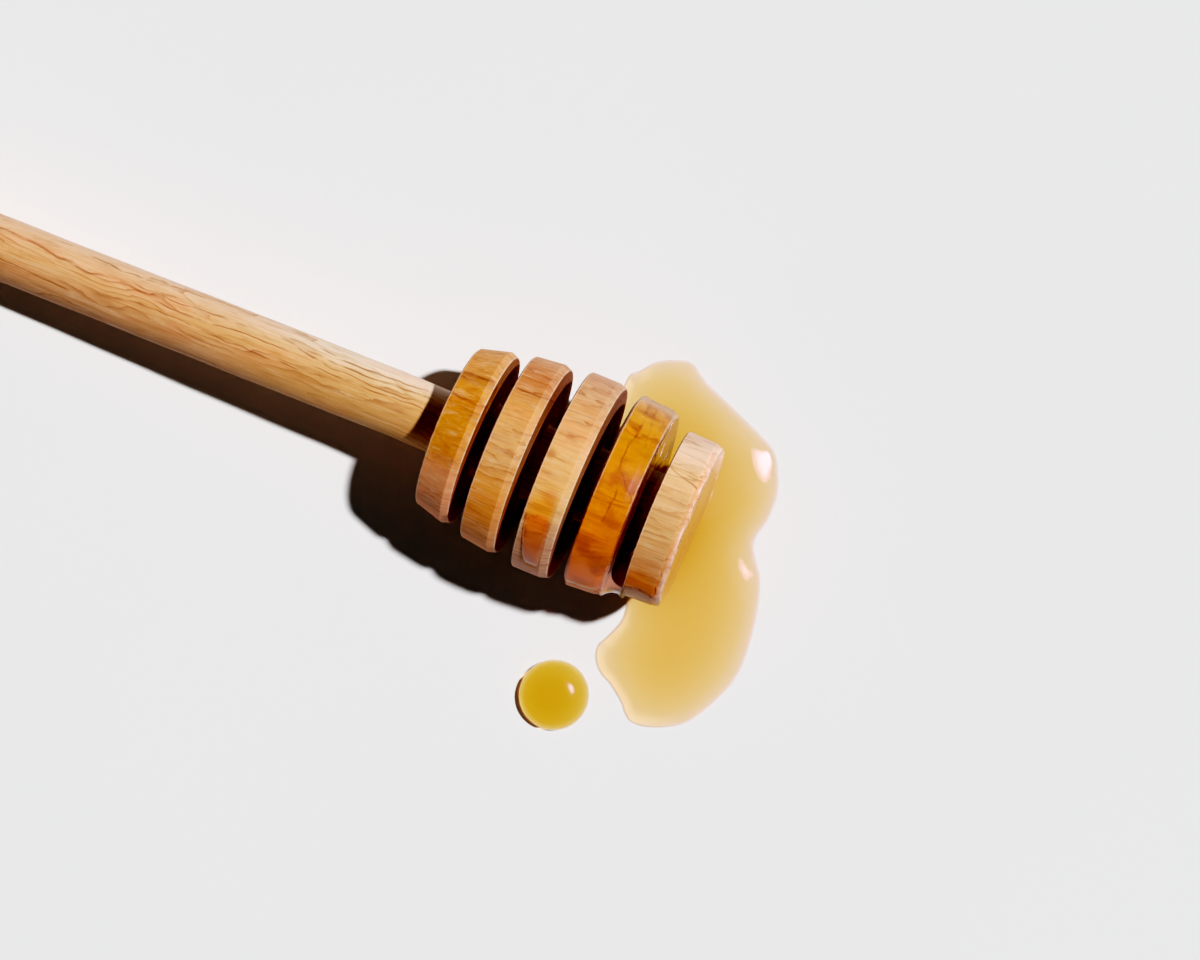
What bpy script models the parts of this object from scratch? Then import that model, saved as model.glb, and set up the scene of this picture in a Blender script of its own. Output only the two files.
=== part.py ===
"""A turned olive wood honey dipper lying with honey under its head, and one drop of honey beside it.

The model is drawn in a build frame: +X along the handle towards the tip, +Z up, the origin on the table under
the point where the dipper's axis meets the back face of the middle disc. At the end an empty moves all of it, so
that the world origin lies under the middle of the whole object's box. Metres throughout.
"""

import math

import bmesh
import bpy
from mathutils import Matrix, Vector

MM = 0.001
GAP = 0.3 * MM

# The dipper's profile. Positions run along its axis from the back face of the middle disc.
LENGTH = 161 * MM
HANDLE_RADIUS = 4.9 * MM
HANDLE_END_ROUNDING = 1.6 * MM
CORE_RADIUS = 5.8 * MM
DISC_THICKNESS = 5.7 * MM
DISC_BACKS = (-16.9 * MM, -8.7 * MM, 0.0, 8.5 * MM, 16.8 * MM)
DISC_BACK_RADII = (12.5 * MM, 14.6 * MM, 15.7 * MM, 15.2 * MM, 13.1 * MM)
DISC_FRONT_RADII = (14.1 * MM, 15.3 * MM, 15.7 * MM, 14.7 * MM, 12.9 * MM)
BACK_CHAMFER = 0.3 * MM
FRONT_CHAMFER = 0.7 * MM
TIP = DISC_BACKS[-1] + DISC_THICKNESS
HANDLE_END = TIP - LENGTH
TURNED_STEPS = 64

# The handle is a little bent: from here on the head turns to the right, seen from above.
BEND_START = -26 * MM
HEAD_TURN = math.radians(-1.14)

# The pool's outline on the table, drawn as a smooth closed curve through these points.
POOL_OUTLINE = [
    (5.0, 17.1), (6.4, 19.1), (8.4, 21.4), (11.3, 22.8), (13.7, 23.1), (16.6, 21.2), (21.7, 19.1),
    (27.8, 16.5), (30.5, 14.9), (32.1, 12.2), (33.2, 9.2), (33.3, 5.0), (32.6, 2.2), (32.7, 0.3),
    (34.0, -1.9), (35.4, -3.8), (36.6, -7.2), (37.4, -11.4), (37.8, -15.6), (37.7, -19.2), (36.6, -22.9),
    (33.8, -28.1), (31.1, -30.4), (27.9, -31.8), (25.2, -32.1), (23.6, -31.1), (22.6, -29.9),
    (20.2, -28.0), (17.7, -26.6), (16.3, -24.8), (15.9, -22.8), (16.8, -20.9), (18.0, -17.1),
    (16.5, -12.5), (10.5, -8.0), (6.4, 0.0), (5.2, 9.0),
]
POOL_THICKNESS = 1.9 * MM
POOL_EDGE_WIDTH = 0.9 * MM
MOUND_CENTRE = (16.5 * MM, -1.5 * MM)
MOUND_SEMI_AXES = (11.5 * MM, 12.5 * MM, 5.4 * MM)

# Honey hanging in the groove behind the last disc. Its surface is a plane that falls towards +Y.
GROOVE_HONEY_RADIUS = 12.8 * MM
GROOVE_SURFACE_DEPTH = 6.0 * MM
GROOVE_SURFACE_SLOPE = math.radians(28)

DROP_CENTRE = (12.4 * MM, -32.5 * MM)
DROP_RADIUS = 5.5 * MM
DROP_HEIGHT = 3.6 * MM
DROP_FULLNESS = 2.6
DROP_PROFILE_STEPS = 9
DROP_TURN_STEPS = 40


def start_with_an_empty_scene():
    for old in list(bpy.data.objects):
        bpy.data.objects.remove(old)


def new_collection(name, hidden=False):
    collection = bpy.data.collections.new(name)
    collection.hide_render = hidden
    bpy.context.scene.collection.children.link(collection)
    return collection


def new_material(name, colour, roughness):
    material = bpy.data.materials.new(name)
    material.use_nodes = True
    shader = material.node_tree.nodes["Principled BSDF"]
    shader.inputs["Base Color"].default_value = (*colour, 1.0)
    shader.inputs["Roughness"].default_value = roughness
    shader.inputs["Metallic"].default_value = 0.0
    return material


def object_in(collection, name, data, material=None):
    made = bpy.data.objects.new(name, data)
    collection.objects.link(made)
    if material:
        data.materials.append(material)
    return made


def as_cutter(made):
    made.hide_render = True
    made.display_type = "WIRE"
    return made


def evaluated_mesh(source):
    """A copy of the object's shape with its modifiers applied and its loose caps welded."""
    graph = bpy.context.evaluated_depsgraph_get()
    mesh = bpy.data.meshes.new_from_object(source.evaluated_get(graph), depsgraph=graph)
    shape = bmesh.new()
    shape.from_mesh(mesh)
    bmesh.ops.remove_doubles(shape, verts=shape.verts, dist=0.00001)
    shape.to_mesh(mesh)
    shape.free()
    return mesh


def turned_mesh(name, profile, steps):
    """The solid of a profile turned about X: (position along X, radius) points from the +X end to the -X end."""
    outline = bpy.data.meshes.new(name + "_profile")
    points = [(along, 0.0, -radius) for along, radius in profile]
    links = [(i, i + 1) for i in range(len(points) - 1)]
    outline.from_pydata(points, links, [])
    turned = object_in(bpy.context.scene.collection, name + "_profile", outline)
    screw = turned.modifiers.new("Turn", "SCREW")
    screw.axis = "X"
    screw.steps = screw.render_steps = steps
    screw.use_merge_vertices = True
    screw.merge_threshold = 0.00005
    mesh = evaluated_mesh(turned)
    mesh.name = name
    bpy.data.objects.remove(turned)
    return mesh


def boolean(target, cutter, operation):
    modifier = target.modifiers.new(operation.title(), "BOOLEAN")
    modifier.operation = operation
    modifier.solver = "EXACT"
    modifier.object = cutter


def disc_points(back, back_radius, front_radius, grow=0.0):
    """One disc's rim from its front face to its back face, with a chamfer on each edge."""
    front = back + DISC_THICKNESS
    slope = (front_radius - back_radius) / DISC_THICKNESS
    return [
        (front + grow, front_radius - FRONT_CHAMFER + grow),
        (front - FRONT_CHAMFER + grow, front_radius - slope * FRONT_CHAMFER + grow),
        (back + BACK_CHAMFER - grow, back_radius + slope * BACK_CHAMFER + grow),
        (back - grow, back_radius - BACK_CHAMFER + grow),
    ]


def head_points(grow=0.0):
    """The five discs and the core between them, from the tip back to the handle."""
    points = []
    discs = list(zip(DISC_BACKS, DISC_BACK_RADII, DISC_FRONT_RADII))
    for back, back_radius, front_radius in reversed(discs):
        if points:
            points.append((back + DISC_THICKNESS + grow, CORE_RADIUS + grow))
        points += disc_points(back, back_radius, front_radius, grow)
        if back > DISC_BACKS[0]:
            points.append((back - grow, CORE_RADIUS + grow))
    return points


def dipper_profile():
    rounding = HANDLE_END_ROUNDING
    end = [(HANDLE_END, HANDLE_RADIUS - rounding), (HANDLE_END, 0.0)]
    for angle in (30, 60):
        along = HANDLE_END + rounding * (1 - math.sin(math.radians(angle)))
        radius = HANDLE_RADIUS - rounding * (1 - math.cos(math.radians(angle)))
        end.insert(-2, (along, radius))
    handle = [(DISC_BACKS[0], HANDLE_RADIUS), (BEND_START, HANDLE_RADIUS), (HANDLE_END + rounding, HANDLE_RADIUS)]
    return [(TIP, 0.0)] + head_points() + handle + end


def resting_tilt():
    """The slope at which the handle's end and the fullest disc both touch the table."""
    end = HANDLE_END + HANDLE_END_ROUNDING
    return math.atan(max((radius - HANDLE_RADIUS) / (along - end) for along, radius in head_points()))


def bend_head(mesh):
    """Turns everything in front of BEND_START about the upright line through the axis there."""
    pivot = Vector((BEND_START, 0.0, 0.0))
    turn = Matrix.Translation(pivot) @ Matrix.Rotation(HEAD_TURN, 4, "Z") @ Matrix.Translation(-pivot)
    for vertex in mesh.vertices:
        if vertex.co.x > BEND_START + 0.1 * MM:
            vertex.co = turn @ vertex.co


def dipper_placement():
    """From the turned shape's own axes to where the dipper lies, its middle disc over the build frame's origin."""
    tilt = resting_tilt()
    lift = DISC_BACK_RADII[2] * math.cos(tilt) - BACK_CHAMFER * math.sin(tilt)
    sideways = (BEND_START - DISC_BACKS[2]) * math.sin(HEAD_TURN)
    return Matrix.Translation((0.0, sideways, lift)) @ Matrix.Rotation(-tilt, 4, "Y")


def make_dipper(collection, material):
    mesh = turned_mesh("dipper", dipper_profile(), TURNED_STEPS)
    bend_head(mesh)
    dipper = object_in(collection, "dipper", mesh, material)
    dipper.matrix_world = dipper_placement()
    mesh.shade_smooth()
    mesh.set_sharp_from_angle(angle=math.radians(30))
    return dipper


def make_head_clearance(cutters):
    """The head grown by the gap, which keeps the honey's solid clear of the wood."""
    back_end = (DISC_BACKS[0] - GAP, 0.0)
    profile = [(TIP + GAP, 0.0)] + head_points(grow=GAP) + [back_end]
    mesh = turned_mesh("head_clearance", profile, TURNED_STEPS)
    bend_head(mesh)
    clearance = object_in(cutters, "head_clearance", mesh)
    clearance.matrix_world = dipper_placement()
    return as_cutter(clearance)


def make_mound(cutters):
    """The heap of honey under the last discs, which rises until it meets them."""
    mesh = bpy.data.meshes.new("mound")
    shape = bmesh.new()
    bmesh.ops.create_uvsphere(shape, u_segments=32, v_segments=16, radius=1.0)
    bmesh.ops.scale(shape, vec=MOUND_SEMI_AXES, verts=shape.verts)
    shape.to_mesh(mesh)
    shape.free()
    mound = object_in(cutters, "mound", mesh)
    mound.location = (*MOUND_CENTRE, 0.0)
    return as_cutter(mound)


def make_groove_honey(cutters):
    """A thin round slab between the last two discs, cut by the honey's sloping surface."""
    back = DISC_BACKS[3] + DISC_THICKNESS + 0.5 * GAP
    front = DISC_BACKS[4] - 0.5 * GAP
    profile = [(front, 0.0), (front, GROOVE_HONEY_RADIUS), (back, GROOVE_HONEY_RADIUS), (back, 0.0)]
    mesh = turned_mesh("groove_honey", profile, TURNED_STEPS)
    shape = bmesh.new()
    shape.from_mesh(mesh)
    surface_point = Vector((0.0, 0.0, -GROOVE_SURFACE_DEPTH))
    surface_normal = Vector((0.0, math.sin(GROOVE_SURFACE_SLOPE), math.cos(GROOVE_SURFACE_SLOPE)))
    cut = bmesh.ops.bisect_plane(
        shape, geom=shape.verts[:] + shape.edges[:] + shape.faces[:],
        plane_co=surface_point, plane_no=surface_normal, clear_outer=True,
    )
    rim = [part for part in cut["geom_cut"] if isinstance(part, bmesh.types.BMEdge)]
    bmesh.ops.holes_fill(shape, edges=rim, sides=0)
    bmesh.ops.recalc_face_normals(shape, faces=shape.faces)
    shape.to_mesh(mesh)
    shape.free()
    bend_head(mesh)
    slab = object_in(cutters, "groove_honey", mesh)
    slab.matrix_world = dipper_placement()
    return as_cutter(slab)


def make_table_space(cutters):
    """Everything under the table's surface, cut from the honey so that it lies flat."""
    size = 120 * MM
    mesh = bpy.data.meshes.new("table_space")
    shape = bmesh.new()
    bmesh.ops.create_cube(shape, size=size)
    shape.to_mesh(mesh)
    shape.free()
    space = object_in(cutters, "table_space", mesh)
    space.location = (*MOUND_CENTRE, -0.5 * size)
    return as_cutter(space)


def make_pool_sheet(collection, material):
    """The pool as a sheet centred on the table's surface, with both rims rounded off."""
    curve = bpy.data.curves.new("pool_outline", "CURVE")
    curve.dimensions = "2D"
    curve.fill_mode = "BOTH"
    curve.resolution_u = 3
    curve.extrude = POOL_THICKNESS
    spline = curve.splines.new("BEZIER")
    spline.bezier_points.add(len(POOL_OUTLINE) - 1)
    for point, (x, y) in zip(spline.bezier_points, POOL_OUTLINE):
        point.co = (x * MM, y * MM, 0.0)
        point.handle_left_type = point.handle_right_type = "AUTO"
    spline.use_cyclic_u = True
    drawn = object_in(bpy.context.scene.collection, "pool_outline", curve)
    bpy.context.view_layer.update()
    mesh = evaluated_mesh(drawn)
    mesh.name = "honey_pool"
    bpy.data.objects.remove(drawn)
    shape = bmesh.new()
    shape.from_mesh(mesh)
    bmesh.ops.dissolve_limit(shape, angle_limit=math.radians(1), verts=[], edges=shape.edges)
    shape.to_mesh(mesh)
    shape.free()
    sheet = object_in(collection, "honey_pool", mesh, material)
    rims = sheet.modifiers.new("Rounded rims", "BEVEL")
    rims.width = POOL_EDGE_WIDTH
    rims.segments = 3
    rims.limit_method = "ANGLE"
    rims.angle_limit = math.radians(60)
    return sheet


def make_honey_pool(collection, cutters, material):
    pool = make_pool_sheet(collection, material)
    boolean(pool, make_mound(cutters), "UNION")
    boolean(pool, make_groove_honey(cutters), "UNION")
    boolean(pool, make_table_space(cutters), "DIFFERENCE")
    boolean(pool, make_head_clearance(cutters), "DIFFERENCE")
    return pool


def make_honey_drop(collection, material):
    """A flat-bottomed drop: a superellipse, steep at the table and nearly level on top."""
    profile = [(0.0, 0.0)]
    for step in range(DROP_PROFILE_STEPS + 1):
        turn = 0.5 * math.pi * step / DROP_PROFILE_STEPS
        height = DROP_HEIGHT * math.sin(turn) ** (2 / DROP_FULLNESS)
        radius = DROP_RADIUS * math.cos(turn) ** (2 / DROP_FULLNESS)
        profile.append((height, 0.0 if step == DROP_PROFILE_STEPS else radius))
    mesh = turned_mesh("honey_drop", profile[::-1], DROP_TURN_STEPS)
    mesh.transform(Matrix.Rotation(-0.5 * math.pi, 4, "Y"))
    mesh.shade_smooth()
    mesh.set_sharp_from_angle(angle=math.radians(50))
    drop = object_in(collection, "honey_drop", mesh, material)
    drop.location = (*DROP_CENTRE, 0.0)
    return drop


def centre_over_origin(parts, helpers):
    """Parents everything to one empty, moved so that the origin is under the middle of the whole box."""
    bpy.context.view_layer.update()
    graph = bpy.context.evaluated_depsgraph_get()
    corners = []
    for part in parts:
        shown = part.evaluated_get(graph)
        corners += [shown.matrix_world @ vertex.co for vertex in shown.data.vertices]
    low = [min(corner[axis] for corner in corners) for axis in range(2)]
    high = [max(corner[axis] for corner in corners) for axis in range(2)]
    anchor = bpy.data.objects.new("resting_place", None)
    bpy.context.scene.collection.objects.link(anchor)
    for child in parts + helpers:
        child.parent = anchor
    anchor.location = (-0.5 * (low[0] + high[0]), -0.5 * (low[1] + high[1]), 0.0)


def main():
    start_with_an_empty_scene()
    parts = new_collection("honey_dipper")
    cutters = new_collection("honey_dipper_cutters", hidden=True)
    wood = new_material("olive_wood", colour=(0.56, 0.33, 0.14), roughness=0.5)
    honey = new_material("honey", colour=(0.78, 0.48, 0.04), roughness=0.08)
    make_dipper(parts, wood)
    make_honey_pool(parts, cutters, honey)
    make_honey_drop(parts, honey)
    centre_over_origin(list(parts.objects), list(cutters.objects))


main()
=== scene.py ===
"""The looks of a turned olive wood honey dipper that lies with its grooved head in honey.

Every length here is in millimetres in the part's build frame: +X along the handle towards the tip, +Z up, the
origin on the table under the point where the dipper's axis meets the back face of the middle disc. Meshes are
turned into metres when they are made, and an object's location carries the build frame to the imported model's.
"""

import math

import bpy
import numpy as np
from mathutils import Matrix, Vector

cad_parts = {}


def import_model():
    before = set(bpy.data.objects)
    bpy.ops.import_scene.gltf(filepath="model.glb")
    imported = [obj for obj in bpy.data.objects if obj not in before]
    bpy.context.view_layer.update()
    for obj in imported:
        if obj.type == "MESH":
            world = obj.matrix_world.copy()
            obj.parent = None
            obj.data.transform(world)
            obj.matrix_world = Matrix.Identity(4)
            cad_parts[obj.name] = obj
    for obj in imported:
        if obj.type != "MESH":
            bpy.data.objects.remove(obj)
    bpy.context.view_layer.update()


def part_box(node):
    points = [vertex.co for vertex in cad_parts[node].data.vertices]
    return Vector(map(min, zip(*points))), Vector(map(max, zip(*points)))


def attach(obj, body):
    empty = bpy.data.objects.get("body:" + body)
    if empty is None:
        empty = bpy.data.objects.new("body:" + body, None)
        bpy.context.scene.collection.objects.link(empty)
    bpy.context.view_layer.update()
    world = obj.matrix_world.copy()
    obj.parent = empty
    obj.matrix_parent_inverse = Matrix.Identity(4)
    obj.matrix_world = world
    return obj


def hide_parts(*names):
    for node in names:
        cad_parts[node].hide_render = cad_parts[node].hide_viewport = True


MM = 0.001

# The dipper's profile, along its axis from the back face of the middle disc.
LENGTH = 161.0
HANDLE_RADIUS = 4.9
HANDLE_END_ROUNDING = 1.6
CORE_RADIUS = 5.8
DISC_THICKNESS = 5.7
DISC_BACKS = (-16.9, -8.7, 0.0, 8.5, 16.8)
DISC_BACK_RADII = (12.5, 14.6, 15.7, 15.2, 13.1)
DISC_FRONT_RADII = (14.1, 15.3, 15.7, 14.7, 12.9)
BACK_CHAMFER = 0.3
FRONT_BEVEL_WIDTH = 1.15
FRONT_BEVEL_DEPTH = 0.45
EDGE_ROUNDING = 0.14
CORE_FILLET = 0.5
CENTRE_MARK_DEPTH = 0.25
CENTRE_MARK_RADII = (0.5, 0.9)
CENTRE_MARK_ROUNDING = 0.3
TIP = DISC_BACKS[-1] + DISC_THICKNESS
HANDLE_END = TIP - LENGTH
BEND_START = -26.0
BEND_LENGTH = 10.0
HEAD_TURN = math.radians(-1.14)

# How pale the discs' edges are made, partly rubbed pale by use and partly a painted glint where an edge catches
# the key lamp, and the width beside an edge over which that fades.
EDGE_WEAR_AND_GLINT_WIDTH = 0.12
FRONT_EDGE_WEAR_AND_GLINT = 1.0
BACK_EDGE_WEAR_AND_GLINT = 0.9
BACK_FACE_WEAR_AND_GLINT = 0.5
BEVEL_WEAR_AND_GLINT = 0.22
TIP_EDGE_WEAR_AND_GLINT = 1.4
TIP_EDGE_RADIUS = 11.6

# The dipper's mesh: segments round the axis, steps in a rounded edge, and the longest runs between rings.
WOOD_SEGMENTS = 220
ARC_STEPS = 4
HANDLE_RUN = 1.7
FACE_RUN = 1.6
RIM_RUN = 0.9

# The pool's outline on the table, a smooth closed curve through these points.
POOL_OUTLINE = [
    (5.0, 17.1), (6.4, 19.1), (8.4, 21.4), (11.3, 22.8), (13.7, 23.1), (16.6, 21.2), (21.7, 19.1),
    (27.8, 16.5), (30.5, 14.9), (32.1, 12.2), (33.2, 9.2), (33.3, 5.0), (32.6, 2.2), (32.7, 0.3),
    (34.0, -1.9), (35.4, -3.8), (36.6, -7.2), (37.4, -11.4), (37.8, -15.6), (37.7, -19.2), (36.6, -22.9),
    (33.8, -28.1), (31.1, -30.4), (27.9, -31.8), (25.2, -32.1), (23.6, -31.1), (22.6, -29.9),
    (20.2, -28.0), (17.7, -26.6), (16.3, -24.8), (15.9, -22.8), (16.8, -20.9), (18.0, -17.1),
    (16.5, -12.5), (10.5, -8.0), (6.4, 0.0), (5.2, 9.0),
]
# From its edge inwards the pool rises as a steep lip, a rounded shoulder and a low swell.
POOL_LIP = 0.65
POOL_LIP_WIDTH = 0.35
POOL_SHOULDER = 1.05
POOL_SHOULDER_WIDTH = 2.4
POOL_SWELL = 0.5
POOL_SWELL_WIDTH = 6.0
POOL_WAVE = 0.05
# The width of the painted shade along the pool's edge.
POOL_RIM_SHADE_WIDTH = 0.4
# The grid that the pool's height is worked out on, and how it is smoothed there.
POOL_GRID_LOW = (2.0, -35.0)
POOL_GRID_HIGH = (41.0, 26.0)
POOL_GRID_STEP = 0.2
POOL_SMOOTHING = 3.0
POOL_RELAXING = 1200
POOL_EVENING = 60
# The mound of honey under the head.
MOUND_CENTRE = (16.6, -1.5)
MOUND_SPREAD = (7.4, 9.5)
MOUND_HEIGHT = 2.5
# The coat on the fourth disc, and the films on the third and fifth, which start below the wood of a dry disc.
COAT = 0.25
COAT_DIP = 0.3
COAT_BELOW = 0.5
FILM_DIP = 0.4
FILM_THREE_RISE = 0.62
FILM_FIVE_RISE = 0.55
FILM_RIPPLE = 0.06
TIP_FILM = 0.2
# The left border of the honey on the third disc, as (degrees, along).
TONGUE_LEFT = [(-95, 2.6), (-80, 2.4), (-62, 1.7), (-42, 0.8), (-24, 0.0), (-10, -1.0)]
# The honey low in the groove between the last two discs.
WEB_MIDDLE = 0.5 * (DISC_BACKS[3] + DISC_THICKNESS + DISC_BACKS[4])
WEB_HALF = 0.5 * (DISC_BACKS[4] - DISC_BACKS[3] - DISC_THICKNESS)
WEB_OVERLAP = 0.3
GROOVE_HONEY_RADII = (14.5, 13.7)
GROOVE_HONEY_TOP = 4.5
GROOVE_HONEY_SIDE = -6.4
DROP_CENTRE = (12.4, -32.5)
DROP_RADIUS = 5.5
DROP_HEIGHT = 3.6
DROP_FULLNESS = 2.6
# Beads on the last disc's front edge, as (along, degrees, radius).
EDGE_BEADS = [(22.4, 20.0, 0.6), (22.3, 4.0, 0.45), (22.3, -19.0, 0.5), (22.3, -36.0, 0.5)]
# Honey reaches a little under the table and into the wood, so that no gap shows.
UNDER_TABLE = 0.05
INTO_WOOD = 0.25
# The box and the fineness of the honey's mesh.
HONEY_LOW = (-1.4, -33.4, -0.9)
HONEY_HIGH = (39.4, 24.4, 32.9)
VOXEL = 0.25
HONEY_TRIANGLES = 150000

# The wood's colours round its axis, as (degrees, colour) stops from the top towards +Y, for the handle, the
# stretch of it by the head, and each disc from the handle to the tip. A back tone closes each round below.
HANDLE_BACK_TONE = (0.62, 0.36, 0.15)
HANDLE_TONES = [
    (-60, (0.58, 0.30, 0.11)), (-25, (0.62, 0.33, 0.12)), (0, (0.67, 0.37, 0.13)),
    (25, (0.68, 0.39, 0.16)), (45, (0.70, 0.44, 0.21)), (80, (0.72, 0.50, 0.28)),
]
NECK_TONES = [
    (-60, (0.66, 0.36, 0.11)), (-20, (0.62, 0.34, 0.10)), (10, (0.68, 0.40, 0.14)),
    (30, (0.74, 0.52, 0.24)), (50, (0.80, 0.66, 0.40)), (90, (0.80, 0.66, 0.40)),
]
DISC_BACK_TONE = (0.60, 0.36, 0.15)
DISC_TONES = [
    [(-95, (0.74, 0.28, 0.10)), (-55, (0.80, 0.33, 0.12)), (-32, (0.72, 0.32, 0.11)),
     (-18, (0.60, 0.24, 0.02)), (2, (0.62, 0.26, 0.012)), (18, (0.60, 0.22, 0.012)),
     (29, (0.68, 0.30, 0.04)), (36, (0.46, 0.18, 0.03)), (42, (0.66, 0.30, 0.06)), (75, (0.70, 0.35, 0.11))],
    [(-90, (0.66, 0.26, 0.06)), (-60, (0.70, 0.26, 0.06)), (-42, (0.72, 0.28, 0.04)),
     (-25, (0.74, 0.32, 0.06)), (-10, (0.72, 0.38, 0.12)), (6, (0.72, 0.39, 0.13)),
     (24, (0.70, 0.34, 0.09)), (36, (0.56, 0.24, 0.06)), (50, (0.58, 0.24, 0.07)), (78, (0.62, 0.32, 0.14))],
    [(-80, (0.72, 0.37, 0.20)), (-40, (0.49, 0.27, 0.12)), (-18, (0.78, 0.46, 0.14)),
     (-8, (0.80, 0.44, 0.14)), (12, (0.76, 0.42, 0.15)), (28, (0.70, 0.35, 0.12)),
     (50, (0.62, 0.34, 0.14)), (80, (0.62, 0.36, 0.19))],
    [(-85, (0.74, 0.36, 0.20)), (-58, (0.76, 0.40, 0.24)), (-48, (0.62, 0.38, 0.08)),
     (-30, (0.54, 0.34, 0.04)), (-12, (0.57, 0.41, 0.06)), (8, (0.53, 0.43, 0.06)),
     (30, (0.48, 0.43, 0.11)), (50, (0.55, 0.53, 0.21)), (78, (0.60, 0.50, 0.30))],
    [(-85, (0.62, 0.28, 0.08)), (-55, (0.62, 0.26, 0.07)), (-38, (0.62, 0.31, 0.10)),
     (-15, (0.66, 0.39, 0.14)), (8, (0.68, 0.41, 0.16)), (26, (0.76, 0.49, 0.21)),
     (45, (0.80, 0.58, 0.33)), (80, (0.78, 0.56, 0.34))],
]
# Veins as (points, half width), along the grain through (along, across) or across it through (across, along).
GRAIN_VEINS = [
    ([(-96, 2.9), (-88, 2.6), (-83, 2.1), (-79, 1.9),
      (-76.5, 1.35), (-73.5, 1.8), (-69, 1.7), (-63, 2.4)], 0.3),
    ([(-70, 2.6), (-62, 2.2), (-54, 2.5), (-47, 2.9)], 0.16),
    ([(-46, 3.0), (-43.6, 2.76), (-39.8, 1.9), (-36, 1.5), (-30.5, 1.3), (-21.0, 1.5)], 0.2),
    ([(-42, 2.6), (-32, 2.3), (-24, 2.5), (-16.8, 2.3)], 0.2),
    ([(-40, 3.5), (-30, 3.2), (-24, 3.3), (-18, 3.1)], 0.18),
    ([(-40, 0.9), (-32, 0.5), (-24, 0.75), (-17, 0.6)], 0.18),
    ([(-72, -0.7), (-60, -0.2), (-48, -0.6), (-34, -0.1)], 0.18),
    ([(-66, 1.4), (-58, 0.9), (-50, 1.5), (-42, 1.2)], 0.18),
    ([(-92, -1.3), (-87, -1.6), (-82, -2.0), (-77, -2.4)], 0.2),
    ([(-80, 3.9), (-72, 3.6), (-64, 3.9)], 0.15),
    ([(-130, 0.6), (-118, 1.3), (-108, 0.8), (-98, 1.6)], 0.3),
    ([(16.4, 6.4), (18.5, 5.6), (22.4, 4.4)], 0.22),
    ([(-18, 8.6), (-14, 8.1), (-11, 8.4)], 0.3),
    ([(-18, 4.9), (-14, 4.5), (-11, 4.8)], 0.22),
    ([(-10, 9.0), (-6, 8.6), (-2, 8.9)], 0.22),
]
CROSS_VEINS = [
    ([(1.6, 11.3), (3.6, 10.7), (6.4, 10.5), (8.8, 11.1), (11.0, 10.9), (14.4, 10.5)], 0.22),
    ([(-4.2, 14.4), (-0.8, 14.0), (1.1, 12.7), (3.1, 11.0)], 0.22),
    ([(-5.4, 11.0), (-3.5, 11.4), (-1.8, 11.5), (1.6, 11.3)], 0.2),
    ([(5.0, 13.8), (9.0, 12.4), (14.0, 11.8)], 0.16),
    ([(-14.0, 2.1), (-13.2, 1.75), (-12.2, 1.3), (-10.2, 0.85), (-7.5, 0.4)], 0.3),
]
# Knots as (centre, half size), both (along, across).
KNOTS = [((1.9, 4.8), (1.6, 0.75)), ((0.7, 1.5), (0.75, 0.7))]
# How far the yearly rings' centre lies beside the axis, on its -Y side, and below it.
RINGS_BESIDE = 31.0
RINGS_BELOW = 9.0
RING_SPACING = 1.15
WOOD_BALANCE = (1.02, 0.95, 1.2)
HONEY_IOR = 1.49
HONEY_RED = 0.91

# The photograph's view: the camera stands over the head, with the handle running to the upper left.
VIEW_CENTRE = (6.84, 1.07)
VIEW_DISTANCE = 444.9
VIEW_LEAN = math.radians(1.25)
VIEW_TURN = math.radians(21.5)
SENSOR_WIDTH = 36.0
LENS = 86.1
FLOOR_HALF = 1800.0

# The light: a key lamp, glows as (degrees across, radiance) that only glossy surfaces mirror, and the room.
TOWARDS_SUN = (0.455, 0.373, 1.0)
KEY_ENERGY = 3.6
SUN_ANGLE = math.radians(2.6)
GLOWS = [(12, 5.0), (15, 5.0), (18, 4.0), (28, 0.4)]
GLOW_COLOUR = (0.9, 0.86, 1.5)
BACKDROP = (0.81, 0.80, 0.815)
FILL = (0.014, 0.030, 0.034)
MIRRORED_ROOM = (0.14, 0.10, 0.09)
TONE_CURVE = [
    (0.0, 0.0), (0.03, 0.004), (0.08, 0.05), (0.2, 0.205),
    (0.4, 0.46), (0.6, 0.655), (0.81, 0.82), (1.0, 1.0),
]


def resting_tilt():
    """The slope at which the handle's end and the fullest disc both touch the table."""
    end = HANDLE_END + HANDLE_END_ROUNDING
    rims = []
    for back, back_radius, front_radius in zip(DISC_BACKS, DISC_BACK_RADII, DISC_FRONT_RADII):
        slope = (front_radius - back_radius) / DISC_THICKNESS
        rims.append((back + BACK_CHAMFER, back_radius + slope * BACK_CHAMFER))
        rims.append((back + DISC_THICKNESS - FRONT_BEVEL_WIDTH, front_radius - slope * FRONT_BEVEL_WIDTH))
    return math.atan(max((radius - HANDLE_RADIUS) / (along - end) for along, radius in rims))


TILT = resting_tilt()
LIFT = DISC_BACK_RADII[2] * math.cos(TILT) - BACK_CHAMFER * math.sin(TILT)
SIDEWAYS = (BEND_START - DISC_BACKS[2]) * math.sin(HEAD_TURN)


def build_origin():
    """Where the build frame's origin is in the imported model, in metres: the drop's box tells."""
    low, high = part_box("honey_drop")
    middle = 0.5 * (low + high)
    return Vector((middle.x - DROP_CENTRE[0] * MM, middle.y - DROP_CENTRE[1] * MM, 0.0))


def mesh_object(name, points, faces, material, origin=(0.0, 0.0, 0.0), smooth=True):
    """A mesh from points in millimetres in the build frame, whose origin is given in metres."""
    mesh = bpy.data.meshes.new(name)
    mesh.from_pydata((np.asarray(points) * MM).tolist(), [], [list(map(int, face)) for face in faces])
    if smooth:
        mesh.shade_smooth()
    mesh.materials.append(material)
    made = bpy.data.objects.new(name, mesh)
    bpy.context.scene.collection.objects.link(made)
    made.location = origin
    return made


# Turned shapes


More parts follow.
